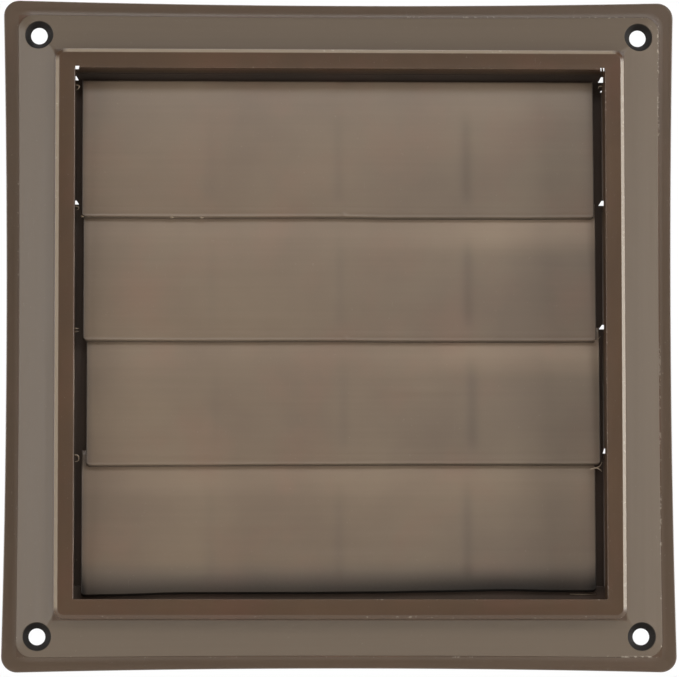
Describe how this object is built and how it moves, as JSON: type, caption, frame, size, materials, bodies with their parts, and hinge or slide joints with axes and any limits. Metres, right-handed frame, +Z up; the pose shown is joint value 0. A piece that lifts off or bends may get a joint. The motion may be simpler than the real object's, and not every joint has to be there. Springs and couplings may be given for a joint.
{
  "type": "louvred wall vent",
  "caption": "Square moulded wall vent with a stepped, bevelled frame and overlapping gravity flaps that swing out together on side pins.",
  "frame": {"origin": "centre of the square opening, on the plane of the wall that the flange's back lies against", "axes": "the front faces -Y, +X is to the right seen from the front, +Z is up; the collar enters the wall along +Y"},
  "size_m": [0.19, 0.017, 0.19],
  "materials": {
    "frame_plastic": "satin moulded brown",
    "flap_plastic": "satin moulded brown"
  },
  "bodies": {
    "frame": {"frame": "frame_plastic"},
    "flap_1": {"flap_1": "flap_plastic"},
    "flap_2": {"flap_2": "flap_plastic"},
    "flap_3": {"flap_3": "flap_plastic"},
    "flap_4": {"flap_4": "flap_plastic"}
  },
  "joints": [
    {"name": "flap_1_hinge", "type": "hinge", "parent": "frame", "child": "flap_1", "pos_m": [0, -0.0005, 0.071], "axis": [-1, 0, 0], "range_deg": [0, 80]},
    {"name": "flap_2_hinge", "type": "hinge", "parent": "frame", "child": "flap_2", "pos_m": [0, -0.0005, 0.036], "axis": [-1, 0, 0], "range_deg": [0, 80]},
    {"name": "flap_3_hinge", "type": "hinge", "parent": "frame", "child": "flap_3", "pos_m": [0, -0.0005, 0.001], "axis": [-1, 0, 0], "range_deg": [0, 80]},
    {"name": "flap_4_hinge", "type": "hinge", "parent": "frame", "child": "flap_4", "pos_m": [0, -0.0005, -0.034], "axis": [-1, 0, 0], "range_deg": [0, 80]}
  ],
  "couplings": [
    {"joint": "flap_2_hinge", "follows": "flap_1_hinge", "ratio": 1},
    {"joint": "flap_3_hinge", "follows": "flap_1_hinge", "ratio": 1},
    {"joint": "flap_4_hinge", "follows": "flap_1_hinge", "ratio": 1}
  ]
}
